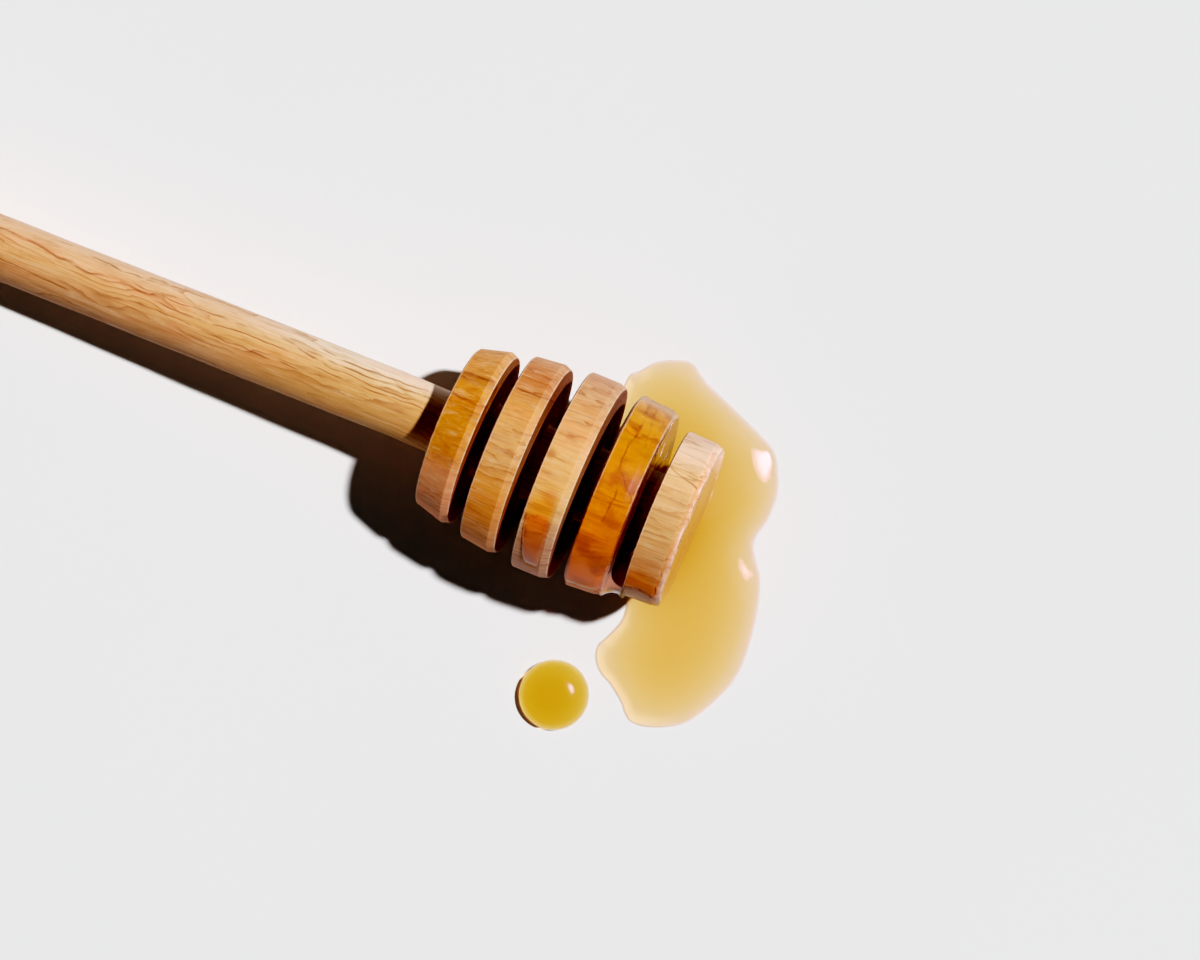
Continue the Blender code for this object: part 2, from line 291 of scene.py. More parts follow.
def rounded_outline(corners, longest):
    """A polyline of (along, radius, pale edge) points from corners of (along, radius, rounding, pale edge).

    Each corner is rounded, with its pale edge mark, partly wear and partly painted glint, on the rounded
    stretch only, and long runs get extra points.
    """
    corners = [np.array(corner, float) for corner in corners]
    outline = [np.array([*corners[0][:2], 0.0])]

    def run_to(end):
        start = outline[-1].copy()
        start[2] = 0.0
        end = np.array([*end, 0.0])
        pieces = max(1, math.ceil(np.linalg.norm(end - start) / longest(start, end)))
        outline.extend(start + (end - start) * (i + 1) / pieces for i in range(pieces))

    for before, here, after in zip(corners, corners[1:], corners[2:]):
        to_before, to_after = before[:2] - here[:2], after[:2] - here[:2]
        length_before, length_after = np.linalg.norm(to_before), np.linalg.norm(to_after)
        to_before, to_after = to_before / length_before, to_after / length_after
        turn = math.pi - math.acos(np.clip(to_before @ to_after, -1, 1))
        cut = min(here[2] * math.tan(0.5 * turn), 0.4 * length_before, 0.4 * length_after)
        if cut < 0.001:
            run_to(here[:2])
            continue
        guard = EDGE_WEAR_AND_GLINT_WIDTH if here[3] else 0.0
        run_to(here[:2] + (cut + guard) * to_before)
        start, end = here[:2] + cut * to_before, here[:2] + cut * to_after
        for step in range(0 if guard else 1, ARC_STEPS + 1):
            t = step / ARC_STEPS
            bent = (1 - t) ** 2 * start + 2 * t * (1 - t) * here[:2] + t ** 2 * end
            outline.append(np.array([*bent, here[3]]))
        if guard:
            outline.append(np.array([*(here[:2] + (cut + guard) * to_after), 0.0]))
    run_to(corners[-1][:2])
    return np.array(outline)


def dipper_outline():
    """The dipper's half outline from the tip to the handle's end, with every edge softened."""
    mark_end = TIP - CENTRE_MARK_DEPTH
    mark_inner, mark_outer = CENTRE_MARK_RADII
    corners = [
        (mark_end, 0.0, 0, 0),
        (mark_end, mark_inner, CENTRE_MARK_ROUNDING, 0),
        (TIP, mark_outer, CENTRE_MARK_ROUNDING, 0),
    ]
    discs = list(zip(DISC_BACKS, DISC_BACK_RADII, DISC_FRONT_RADII))
    for back, back_radius, front_radius in reversed(discs):
        front = back + DISC_THICKNESS
        slope = (front_radius - back_radius) / DISC_THICKNESS
        bevel_radius = front_radius - slope * FRONT_BEVEL_WIDTH
        if front < TIP:
            corners.append((front, CORE_RADIUS, CORE_FILLET, 0))
        corners += [
            (front, bevel_radius - FRONT_BEVEL_DEPTH, EDGE_ROUNDING, FRONT_EDGE_WEAR_AND_GLINT),
            (front - FRONT_BEVEL_WIDTH, bevel_radius, 2 * EDGE_ROUNDING, 0),
            (back + 0.6 * BACK_CHAMFER, back_radius + slope * BACK_CHAMFER, EDGE_ROUNDING, BACK_EDGE_WEAR_AND_GLINT),
            (back, back_radius - 0.6 * BACK_CHAMFER, EDGE_ROUNDING, BACK_FACE_WEAR_AND_GLINT),
        ]
        if back > DISC_BACKS[0]:
            corners.append((back, CORE_RADIUS, CORE_FILLET, 0))
    corners += [
        (DISC_BACKS[0], HANDLE_RADIUS, CORE_FILLET, 0),
        (HANDLE_END, HANDLE_RADIUS, HANDLE_END_ROUNDING, 0),
        (HANDLE_END, 0.0, 0, 0),
    ]

    def longest(start, end):
        if max(start[0], end[0]) < DISC_BACKS[0] + 0.1:
            return HANDLE_RUN
        return FACE_RUN if abs(end[0] - start[0]) < 0.1 else RIM_RUN

    return rounded_outline(corners, longest)


def turned(outline, segments):
    """Points and faces of an outline of (along, radius) turned about X, where it starts and ends."""
    angles = np.arange(segments) * 2 * math.pi / segments
    rings = outline[1:-1]
    along = np.repeat(rings[:, 0], segments)
    radius = np.repeat(rings[:, 1], segments)
    angle = np.tile(angles, len(rings))
    points = np.stack([along, radius * np.sin(angle), radius * np.cos(angle)], -1)
    points = np.vstack([points, [(outline[0][0], 0, 0), (outline[-1][0], 0, 0)]])
    first, last = len(points) - 2, len(points) - 1
    faces = []
    for ring in range(len(rings) - 1):
        here, there = ring * segments, (ring + 1) * segments
        for i in range(segments):
            j = (i + 1) % segments
            faces.append((here + i, here + j, there + j, there + i))
    last_ring = (len(rings) - 1) * segments
    for i in range(segments):
        j = (i + 1) % segments
        faces.append((first, j, i))
        faces.append((last, last_ring + i, last_ring + j))
    return points, faces


def smooth_step(low, high, value):
    t = np.clip((value - low) / (high - low), 0.0, 1.0)
    return t * t * (3 - 2 * t)


def hand_turned(points):
    """A little unevenness in the radius, as sanding by hand leaves it, and the handle's small bend."""
    x, y, z = points.T
    radius = np.hypot(y, z)
    angle = np.arctan2(y, z)
    uneven = 0.035 * np.sin(2 * angle + 0.05 * x) + 0.02 * np.sin(3 * angle + 0.4 * x + 1.0)
    uneven += 0.03 * np.sin(0.11 * x + 0.7) * smooth_step(-20, -30, x)
    grown = 1 + uneven / np.maximum(radius, 5.0) * smooth_step(3.0, 8.0, radius + 4 * (x < DISC_BACKS[0]))
    y, z = y * grown, z * grown
    share = smooth_step(BEND_START - 0.5 * BEND_LENGTH, BEND_START + 0.5 * BEND_LENGTH, x)
    turn = HEAD_TURN * share
    reach = x - BEND_START
    x = BEND_START + reach * np.cos(turn) - y * np.sin(turn)
    y = reach * np.sin(turn) + y * np.cos(turn)
    return np.stack([x, y, z], -1)


def laid_down(points):
    """From the dipper's own axes to where it lies in the build frame."""
    x, y, z = points.T
    x, z = x * math.cos(TILT) - z * math.sin(TILT), x * math.sin(TILT) + z * math.cos(TILT)
    return np.stack([x, y + SIDEWAYS, z + LIFT], -1)


def in_dipper_axes(x, y, z):
    """Build frame coordinates of points by the head, as (along, sideways, up) in the dipper's own axes."""
    y, z = y - SIDEWAYS, z - LIFT
    x, z = x * math.cos(TILT) + z * math.sin(TILT), -x * math.sin(TILT) + z * math.cos(TILT)
    x = x - BEND_START
    cosine, sine = math.cos(HEAD_TURN), math.sin(HEAD_TURN)
    x, y = x * cosine + y * sine, -x * sine + y * cosine
    return x + BEND_START, y, z


# Where honey wets the wood. Angles run round the dipper's axis from the top towards +Y.


def ripple(along, angle, seed):
    """A smooth uneven pattern of about one unit's height."""
    return (
        0.5 * np.sin(3.1 * angle + 0.55 * along + seed)
        + 0.3 * np.sin(7.3 * angle - 0.9 * along + 2.1 * seed)
        + 0.2 * np.sin(12.7 * angle + 1.7 * along + 3.7 * seed)
    )


def disc_three_honey(along, angle, start=(-18, -30)):
    """How wet the middle disc is, 0 to 1: a round-topped tongue down its front half on the right."""
    side = np.degrees(angle)
    left_border = np.interp(side, *zip(*TONGUE_LEFT))
    rounded = side + 7 * ((along - 2.8) / 2.2) ** 2
    tongue = smooth_step(*start, rounded) * smooth_step(-0.3, 0.5, along - left_border)
    return tongue * smooth_step(-78, -60, side) * smooth_step(4.7, 4.2, along)


def disc_five_honey(along, angle, start=(-57, -67)):
    """How wet the last disc is at its lower right end, 0 to 1."""
    side = np.degrees(angle)
    return smooth_step(*start, side + 3 * np.sin(0.9 * along)) * smooth_step(-160, -130, side)


def soaked(film, tint):
    """How much the honey colours the wood: fully beside a film, and less below it, where the film does it."""
    return tint * (1 - 0.85 * smooth_step(0.4, 0.7, film))


def wetness(along, angle):
    """How much the honey colours the wood at each point, 0 to 1."""
    side = np.degrees(angle)
    wet = np.where((along > 8.0) & (along < 15.0), smooth_step(88, 62, np.abs(side + 4)), 0.0)
    on_three = (along > -1.0) & (along < 6.3) & (side < 30)
    wet = np.where(on_three, 0.85 * disc_three_honey(along, angle, start=(-2, -22)), wet)
    five = soaked(disc_five_honey(along, angle), disc_five_honey(along, angle, start=(-34, -58)))
    return np.where((along > 16.0) & (along < TIP - 0.6), five, wet)


# The honey as a signed distance field, negative inside, in the build frame


def smooth_min(a, b, blend):
    share = np.clip(0.5 + 0.5 * (b - a) / blend, 0.0, 1.0)
    return b + (a - b) * share - blend * share * (1 - share)


def smooth_curve(points, steps):
    """A closed Catmull-Rom curve through the points."""
    p = np.array(points)
    t = (np.arange(steps) / steps)[None, :, None]
    a, b, c, d = (np.roll(p, shift, 0)[:, None, :] for shift in (1, 0, -1, -2))
    curve = 2 * b + (c - a) * t + (2 * a - 5 * b + 4 * c - d) * t ** 2 + (3 * b - a - 3 * c + d) * t ** 3
    return (0.5 * curve).reshape(-1, 2)


def outline_distance(x, y, outline):
    """Signed distance to a closed outline, positive inside."""
    start, end = outline, np.roll(outline, -1, 0)
    best = np.full(x.shape, np.inf)
    crossings = np.zeros(x.shape, int)
    for (ax, ay), (bx, by) in zip(start, end):
        dx, dy = bx - ax, by - ay
        t = np.clip(((x - ax) * dx + (y - ay) * dy) / (dx * dx + dy * dy), 0, 1)
        best = np.minimum(best, (x - ax - t * dx) ** 2 + (y - ay - t * dy) ** 2)
        crosses = (ay > y) != (by > y)
        at = ax + (y - ay) * dx / (dy if dy else 1e-9)
        crossings += crosses & (x < at)
    return np.where(crossings % 2 == 1, 1, -1) * np.sqrt(best)


class Pool:
    """The pool's height over the table, on a fine grid, with a surface that has no creases."""

    def __init__(self):
        self.low = np.array(POOL_GRID_LOW)
        self.step = POOL_GRID_STEP
        counts = (np.array(POOL_GRID_HIGH) - self.low) / self.step
        xs = self.low[0] + self.step * np.arange(int(counts[0]))
        ys = self.low[1] + self.step * np.arange(int(counts[1]))
        x, y = np.meshgrid(xs, ys, indexing="ij")
        edge = outline_distance(x, y, smooth_curve(POOL_OUTLINE, 8))
        inner = self.smoothed(edge)
        near = smooth_step(1.5, 0.5, edge)
        depth = near * edge + (1 - near) * inner
        inside = np.maximum(depth, 0.0)
        swell = 1 - np.exp(-(inside / POOL_SWELL_WIDTH) ** 2)
        height = POOL_LIP * (1 - np.exp(-inside / POOL_LIP_WIDTH)) + POOL_SWELL * swell
        height += POOL_SHOULDER * (1 - np.exp(-inside / POOL_SHOULDER_WIDTH))
        height += POOL_WAVE * np.sin(0.31 * x + 0.17 * y) * np.sin(0.23 * y - 0.12 * x + 1.0) * swell
        for _ in range(POOL_EVENING):
            around = sum(np.roll(height, shift, axis) for shift in (-1, 1) for axis in (0, 1)) / 4
            height = np.where(edge > 0.8, 0.5 * (height + around), height)
        self.height = np.where(edge > 0, height, POOL_LIP / POOL_LIP_WIDTH * edge)
        self.edge = edge
        inwards = np.stack(np.gradient(edge), -1)
        inwards /= np.maximum(np.linalg.norm(inwards, axis=-1, keepdims=True), 0.01)
        sun = np.array(TOWARDS_SUN[:2]) / math.hypot(*TOWARDS_SUN[:2])
        self.far_side = smooth_step(-0.1, 0.6, inwards @ sun)

    def smoothed(self, edge):
        """The distance from the edge, rounded off along the middle by relaxing a screened potential."""
        fixed = edge <= 0
        potential = np.where(fixed, 1.0, np.exp(-np.maximum(edge, 0) / POOL_SMOOTHING))
        weight = (POOL_SMOOTHING / self.step) ** 2
        share = weight / (1 + 4 * weight)
        for _ in range(POOL_RELAXING):
            around = np.zeros_like(potential)
            around[1:-1, 1:-1] = (
                potential[2:, 1:-1] + potential[:-2, 1:-1] + potential[1:-1, 2:] + potential[1:-1, :-2]
            )
            potential = np.where(fixed, 1.0, share * around)
        return -POOL_SMOOTHING * np.log(np.maximum(potential, 1e-6))

    def at(self, x, y, values=None):
        """The height at a point, or another of the grid's values there."""
        h = self.height if values is None else values
        u = np.clip((x - self.low[0]) / self.step, 0, h.shape[0] - 1.001)
        v = np.clip((y - self.low[1]) / self.step, 0, h.shape[1] - 1.001)
        i, j = u.astype(int), v.astype(int)
        u, v = u - i, v - j
        return (
            h[i, j] * (1 - u) * (1 - v) + h[i + 1, j] * u * (1 - v)
            + h[i, j + 1] * (1 - u) * v + h[i + 1, j + 1] * u * v
        )


def disc_distance(index, along, radius):
    """Signed distance to one disc of the dipper."""
    back, front = DISC_BACKS[index], DISC_BACKS[index] + DISC_THICKNESS
    slope = (DISC_FRONT_RADII[index] - DISC_BACK_RADII[index]) / DISC_THICKNESS
    rounding = 0.4
    beside = np.abs(along - 0.5 * (back + front)) - (0.5 * DISC_THICKNESS - rounding)
    above = radius - (DISC_BACK_RADII[index] + slope * (along - back) - rounding)
    outside = np.hypot(np.maximum(beside, 0), np.maximum(above, 0))
    block = np.minimum(np.maximum(beside, above), 0) + outside - rounding
    bevel_start = front - FRONT_BEVEL_WIDTH
    bevel_radius = DISC_FRONT_RADII[index] - slope * FRONT_BEVEL_WIDTH
    bevel = (along - bevel_start) * FRONT_BEVEL_DEPTH + (radius - bevel_radius) * FRONT_BEVEL_WIDTH
    return -smooth_min(-block, -bevel / math.hypot(FRONT_BEVEL_WIDTH, FRONT_BEVEL_DEPTH), 0.06)


def front_edge_ridge(along, side, up, radius, angle):
    """Honey along the last disc's front edge, a thin uneven ridge with a few beads on it."""
    degrees = np.degrees(angle)
    edge_along, edge_radius = TIP - 0.4, DISC_FRONT_RADII[-1] - 0.3
    wander = 0.1 * np.sin(9 * angle + 1.0) + 0.06 * np.sin(23 * angle)
    thickness = 0.52 + 0.07 * np.sin(13 * angle + 0.4) + 0.05 * np.sin(29 * angle + 2.0)
    thickness = thickness * smooth_step(75, 60, degrees) * smooth_step(-112, -95, degrees) - 0.2
    ridge = np.hypot(along - edge_along - wander, radius - edge_radius) - thickness
    for bead_along, bead_degrees, bead_radius in EDGE_BEADS:
        direction = math.radians(bead_degrees)
        bead = np.sqrt(
            (along - bead_along) ** 2
            + (side - edge_radius * math.sin(direction)) ** 2
            + (up - edge_radius * math.cos(direction)) ** 2
        ) - bead_radius
        ridge = smooth_min(ridge, bead, 0.4)
    return ridge


def honey_field(x, y, z, pool):
    """Signed distance to the honey in the pool, under and between the last discs, and on them."""
    along, side, up = in_dipper_axes(x, y, z)
    radius = np.hypot(side, up)
    angle = np.arctan2(side, up)
    three, four, five = (disc_distance(i, along, radius) for i in (2, 3, 4))
    core = np.maximum(radius - CORE_RADIUS, along - TIP)
    wood = np.minimum(np.minimum(three, four), np.minimum(five, core))

    bottom = -VOXEL - z
    z = np.maximum(z, 0.0)
    off_x = (x - MOUND_CENTRE[0]) / MOUND_SPREAD[0]
    off_y = (y - MOUND_CENTRE[1]) / MOUND_SPREAD[1]
    mound = MOUND_HEIGHT * np.exp(-off_x ** 2 - off_y ** 2)
    honey = (z - pool.at(x, y) - mound) * 0.8

    degrees = np.degrees(angle)
    lower = np.maximum(smooth_step(-84, -64, degrees), smooth_step(-110, -140, degrees))
    covered = np.where(degrees > 0, 1.0, lower)
    lowest = smooth_step(100, 180, np.abs(degrees))
    thickness = COAT * (1 + 0.3 * ripple(along, angle, 1.3))
    coat = -COAT_DIP + (COAT_DIP + thickness) * covered + COAT_BELOW * lowest
    honey = smooth_min(honey, four - coat, 0.5)

    across = np.abs(along - WEB_MIDDLE) / WEB_HALF
    surface = -smooth_min(GROOVE_HONEY_TOP - up, GROOVE_HONEY_SIDE - side - 0.3 * up, 2.5)
    web = np.maximum(np.abs(along - WEB_MIDDLE) - WEB_HALF - WEB_OVERLAP, surface - 0.3 * across ** 2)
    share = np.clip(0.5 + 0.5 * (along - WEB_MIDDLE) / WEB_HALF, 0, 1)
    web_radius = GROOVE_HONEY_RADII[0] + (GROOVE_HONEY_RADII[1] - GROOVE_HONEY_RADII[0]) * share
    web = np.maximum(web, radius - web_radius + 0.5 * (1 - across ** 2))
    honey = smooth_min(honey, web, 0.8)

    wet_three = disc_three_honey(along, angle)
    wet_three = wet_three * smooth_step(10.5, 13.0, radius)
    film_three = -FILM_DIP + (FILM_THREE_RISE + FILM_RIPPLE * ripple(along, angle, 2.2)) * wet_three
    film_three = film_three - 0.2 * smooth_step(-48, -72, degrees)
    honey = smooth_min(honey, three - film_three, 0.3)

    wet_five = disc_five_honey(along, angle)
    film_five = -FILM_DIP + (FILM_FIVE_RISE + FILM_RIPPLE * ripple(along, angle, 5.2)) * wet_five
    honey = smooth_min(honey, five - film_five, 0.4)
    tip_film = np.maximum(np.abs(along - TIP) - TIP_FILM, radius - DISC_FRONT_RADII[-1] + 0.6)
    honey = smooth_min(honey, tip_film, 0.3)
    honey = smooth_min(honey, front_edge_ridge(along, side, up, radius, angle), 0.4)

    honey = np.maximum(honey, -(wood + INTO_WOOD))
    return np.maximum(honey, bottom)


def surface_net(field, low, step):
    """A closed quad mesh round the negative part of a field on a grid, with a vertex in each crossed cell."""
    inside = field < 0
    shape = np.array(field.shape) - 1
    offsets = [(i, j, k) for i in (0, 1) for j in (0, 1) for k in (0, 1)]

    def corner(values, offset):
        return values[tuple(slice(o, o + n) for o, n in zip(offset, shape))]

    total = sum(corner(inside, o).astype(np.int8) for o in offsets)
    crossed = (total > 0) & (total < 8)
    cells = np.argwhere(crossed)
    number = np.full(shape, -1)
    number[crossed] = np.arange(len(cells))
    place = np.zeros((len(cells), 3))
    count = np.zeros(len(cells))
    for o in offsets:
        for axis in range(3):
            if o[axis]:
                continue
            other = tuple(v + (1 if i == axis else 0) for i, v in enumerate(o))
            a = field[tuple((cells + o).T)]
            b = field[tuple((cells + other).T)]
            cut = (a < 0) != (b < 0)
            t = np.where(cut, a / np.where(cut, a - b, 1), 0)
            at = np.array(o)[None, :] + t[:, None] * np.eye(3)[axis]
            place += at * cut[:, None]
            count += cut
    points = np.array(low) + step * (cells + place / count[:, None])

    faces = []
    for axis in range(3):
        u, v = (axis + 1) % 3, (axis + 2) % 3
        a = np.moveaxis(inside, axis, 0)[:-1]
        b = np.moveaxis(inside, axis, 0)[1:]
        cut = np.argwhere(np.moveaxis(a != b, 0, axis))
        keep = (cut[:, u] > 0) & (cut[:, v] > 0) & (cut[:, u] < shape[u]) & (cut[:, v] < shape[v])
        cut = cut[keep]
        step_u, step_v = np.eye(3, dtype=int)[u], np.eye(3, dtype=int)[v]
        quad = np.stack([
            number[tuple((cut - step_u - step_v).T)], number[tuple((cut - step_v).T)],
            number[tuple(cut.T)], number[tuple((cut - step_u).T)],
        ], -1)
        outwards = inside[tuple(cut.T)]
        faces.append(np.where(outwards[:, None], quad, quad[:, ::-1]))
    return points, np.vstack(faces)


def settle(points, field):
    """Moves the points onto the field's zero surface."""
    small = 0.02
    for _ in range(3):
        x, y, z = points.T
        here = field(x, y, z)
        slope = np.stack([
            field(x + small, y, z) - field(x - small, y, z),
            field(x, y + small, z) - field(x, y - small, z),
            field(x, y, z + small) - field(x, y, z - small),
        ], -1) / (2 * small)
        steepness = np.maximum(np.sqrt((slope ** 2).sum(-1)), 0.4)
        move = np.clip(here / steepness, -0.25 * VOXEL, 0.25 * VOXEL)
        points = points - slope * (move / steepness)[:, None]
    return points


def apply_modifiers(piece):
    graph = bpy.context.evaluated_depsgraph_get()
    shaped = bpy.data.meshes.new_from_object(piece.evaluated_get(graph), depsgraph=graph)
    piece.modifiers.clear()
    piece.data = shaped


def add_attribute(piece, name, values):
    attribute = piece.data.attributes.new(name, "FLOAT", "POINT")
    attribute.data.foreach_set("value", np.asarray(values, np.float32))


def make_honey_pool(material, origin):
    """The pool, with the honey under, between and on the last discs, as one closed mesh."""
    pool = Pool()
    axes = [np.arange(a, b, VOXEL) for a, b in zip(HONEY_LOW, HONEY_HIGH)]
    x, y, z = np.meshgrid(*axes, indexing="ij", sparse=True)
    field = np.broadcast_to(honey_field(x, y, z, pool), [len(axis) for axis in axes])
    points, faces = surface_net(field, HONEY_LOW, VOXEL)
    points = settle(points, lambda px, py, pz: honey_field(px, py, pz, pool))
    points[:, 2] = np.maximum(points[:, 2], -UNDER_TABLE)
    spill = mesh_object("honey_spill", points, faces, material, origin)
    fewer = spill.modifiers.new("Fewer faces", "DECIMATE")
    fewer.ratio = min(1.0, HONEY_TRIANGLES / (2 * len(faces)))
    apply_modifiers(spill)
    x, y, z = np.array([vertex.co for vertex in spill.data.vertices]).T / MM
    along, side, up = in_dipper_axes(x, y, z)
    radius, degrees = np.hypot(side, up), np.degrees(np.arctan2(side, up))
    on_disc = smooth_step(10.5, 12.0, radius) * smooth_step(TIP - 0.6, TIP - 1.0, along)
    on_disc = on_disc * smooth_step(3.0, 4.0, z)
    web_back, web_front = WEB_MIDDLE - WEB_HALF, WEB_MIDDLE + WEB_HALF
    in_web = smooth_step(web_back - WEB_OVERLAP, web_back + WEB_OVERLAP, along)
    in_web = in_web * smooth_step(web_front + WEB_OVERLAP, web_front - WEB_OVERLAP, along)
    in_web = in_web * smooth_step(8.0, 10.0, radius) * smooth_step(15.6, 14.8, radius)
    add_attribute(spill, "dull_coat", on_disc * (1 - in_web))
    add_attribute(spill, "cloudy_web", in_web * smooth_step(-34, -76, degrees))
    edge, far_side = pool.at(x, y, pool.edge), pool.at(x, y, pool.far_side)
    # Painted shade along the pool's rim: a faint dark line all round, much darker on the side away from the key
    # lamp.
    rim_shade = smooth_step(POOL_RIM_SHADE_WIDTH, 0.4 * POOL_RIM_SHADE_WIDTH, edge) * smooth_step(1.2, 0.9, z)
    add_attribute(spill, "pool_rim_shade", rim_shade * (0.15 + 0.85 * far_side))
    gathered = smooth_step(0.4, 0.8, edge) * smooth_step(2.6, 1.5, edge) * smooth_step(1.6, 1.2, z)
    add_attribute(spill, "gathered_light", 0.3 * gathered * far_side)
    return spill


def make_honey_drop(material, origin):
    """The round drop: a superellipse that isn't quite round on the table."""
    steps, segments = 44, 120
    outline = [(DROP_HEIGHT, 0.0)]
    for step in range(1, steps + 1):
        turn = 0.5 * math.pi * (1 - step / steps)
        height = DROP_HEIGHT * math.sin(turn) ** (2 / DROP_FULLNESS)
        outline.append((height, DROP_RADIUS * math.cos(turn) ** (2 / DROP_FULLNESS)))
    outline += [(-UNDER_TABLE, DROP_RADIUS), (-UNDER_TABLE, 0.0)]
    points, faces = turned(np.array(outline), segments)
    up, side, forward = points.T
    angle = np.arctan2(side, forward)
    wobble = 1 + 0.006 * np.sin(2 * angle + 0.6) - 0.006
    points = np.stack([side * wobble, forward * wobble, up], -1)
    drop = mesh_object("honey_bead", points + (*DROP_CENTRE, 0.0), faces, material, origin)
    from_sun = -(points[:, 0] * TOWARDS_SUN[0] + points[:, 1] * TOWARDS_SUN[1])
    from_sun = from_sun / math.hypot(*TOWARDS_SUN[:2]) / DROP_RADIUS
    gathered = smooth_step(0.38, 0.52, from_sun) * smooth_step(0.68, 0.62, from_sun)
    add_attribute(drop, "gathered_light", gathered)
    return drop


def make_dipper(material, origin):
    """The wooden dipper, marked with where honey wets it and where its edges are pale with wear and with
    painted glint.
    """
    outline = dipper_outline()
    points, faces = turned(outline, WOOD_SEGMENTS)
    along, angle = points[:, 0], np.arctan2(points[:, 1], points[:, 2])
    # Pale edges: partly wear, partly a painted glint where the discs' edges and bevels face the key lamp. The
    # mark is strongest on the tip's edge and is kept off the fourth disc's -Y side.
    wear_and_glint = np.append(np.repeat(outline[1:-1, 2], WOOD_SEGMENTS), [0.0, 0.0])
    wet = wetness(along, angle)
    for back in DISC_BACKS[:3]:
        front = back + DISC_THICKNESS
        on_bevel = (along > front - FRONT_BEVEL_WIDTH) & (along < front - 0.05)
        wear_and_glint[on_bevel] = np.maximum(wear_and_glint[on_bevel], BEVEL_WEAR_AND_GLINT)
    on_tip_edge = (along > TIP - 0.6) & (np.hypot(points[:, 1], points[:, 2]) > TIP_EDGE_RADIUS)
    wear_and_glint[on_tip_edge] = TIP_EDGE_WEAR_AND_GLINT
    on_four = (along > 8.0) & (along < 15.0)
    wear_and_glint[on_four] *= smooth_step(-14, 0, np.degrees(angle[on_four]))
    dipper = mesh_object("turned_dipper", laid_down(hand_turned(points)), faces, material, origin)
    add_attribute(dipper, "honey_wet", wet)
    add_attribute(dipper, "edge_wear_and_glint", wear_and_glint)
    return dipper


# Materials


class Nodes:
    """Short calls to build a material's node tree."""

    def __init__(self, name):
        self.material = bpy.data.materials.new(name)
        self.material.use_nodes = True
        self.tree = self.material.node_tree
        self.tree.nodes.clear()
        self.output = self.tree.nodes.new("ShaderNodeOutputMaterial")

    def add(self, kind, inputs=None, **settings):
        node = self.tree.nodes.new("ShaderNode" + kind)
        for name, value in settings.items():
            setattr(node, name, value)
        for name, value in (inputs or {}).items():
            self.plug(node.inputs[name], value)
        return node

    def plug(self, socket, value):
        if isinstance(value, bpy.types.NodeSocket):
            self.tree.links.new(value, socket)
        else:
            socket.default_value = value

    def maths(self, operation, a, b=0.0, clamp=False):
        node = self.add("Math", {0: a, 1: b}, operation=operation, use_clamp=clamp)
        return node.outputs[0]

    def plus(self, a, b, clamp=False):
        return self.maths("ADD", a, b, clamp)

    def times(self, a, b):
        return self.maths("MULTIPLY", a, b)

    def attribute(self, name):
        return self.add("Attribute", attribute_name=name).outputs["Fac"]

    def fade(self, value, low, high, smooth=True):
        """0 at low, 1 at high."""
        limits = {"Value": value, "From Min": low, "From Max": high}
        node = self.add("MapRange", limits, interpolation_type="SMOOTHSTEP" if smooth else "LINEAR")
        return node.outputs["Result"]

    def noise(self, vector, scale, detail=2.0, roughness=0.5, distortion=0.0):
        node = self.add("TexNoise", {
            "Vector": vector, "Scale": scale, "Detail": detail,
            "Roughness": roughness, "Distortion": distortion,
        })
        return node.outputs["Fac"]

    def stretch(self, vector, along, across, up):
        return self.add("VectorMath", {0: vector, 1: (along, across, up)}, operation="MULTIPLY").outputs[0]

    def ramp(self, value, stops):
        node = self.add("ValToRGB", {"Fac": value})
        ramp = node.color_ramp
        while len(ramp.elements) < len(stops):
            ramp.elements.new(0.5)
        for element, (position, colour) in zip(ramp.elements, stops):
            element.position = position
            element.color = (*colour, 1.0)
        return node.outputs["Color"]

    def curve(self, value, points):
        """A smooth curve through (value, result) points."""
        start, end = points[0][0], points[-1][0]
        low, high = min(y for _, y in points), max(y for _, y in points) + 0.001
        share = self.fade(value, start, end, smooth=False)
        node = self.add("FloatCurve", {"Value": share})
        drawn = node.mapping.curves[0].points
        while len(drawn) < len(points):
            drawn.new(0.5, 0.5)
        for dot, (x, y) in zip(drawn, points):
            dot.location = ((x - start) / (end - start), (y - low) / (high - low))
        node.mapping.update()
        return self.maths("ADD", self.maths("MULTIPLY", node.outputs[0], high - low), low)

    def mix(self, share, first, second, blend="MIX"):
        node = self.tree.nodes.new("ShaderNodeMix")
        node.data_type = "RGBA"
        node.blend_type = blend
        for socket, value in ((node.inputs[0], share), (node.inputs[6], first), (node.inputs[7], second)):
            if isinstance(value, tuple) and len(value) == 3:
                value = (*value, 1.0)
            self.plug(socket, value)
        return node.outputs[2]


def wood_tone(n, turn, stops, back_tone):
    """Colours round the dipper from (degrees, colour) stops; turn is 0 to 1 for -180 to 180 degrees."""
    stops = [(-180, back_tone), *stops, (180, back_tone)]
    return n.ramp(turn, [((degrees + 180) / 360, colour) for degrees, colour in stops])


def vein(n, run, across, points, width):
    """A thin line drawn through (run, across) points: 1 on it, 0 away from it."""
    away = n.maths("ABSOLUTE", n.maths("SUBTRACT", across, n.curve(run, points)))
    on = n.fade(away, width, 0.2 * width)
    start, end = points[0][0], points[-1][0]
    fade_in = n.fade(run, start, start + 0.12 * (end - start))
    fade_out = n.fade(run, end, end - 0.12 * (end - start))
    return n.times(on, n.times(fade_in, fade_out))


def blotch(n, along, across, centre, half_size, wobble):
    """A small knot with a soft uneven border."""
    u = n.maths("DIVIDE", n.maths("SUBTRACT", along, centre[0]), half_size[0])
    v = n.maths("DIVIDE", n.maths("SUBTRACT", across, centre[1]), half_size[1])
    distance = n.maths("SQRT", n.plus(n.times(u, u), n.times(v, v)))
    distance = n.plus(distance, n.times(wobble, 2.0))
    return n.times(n.fade(distance, 1.5, 0.3), 0.8)


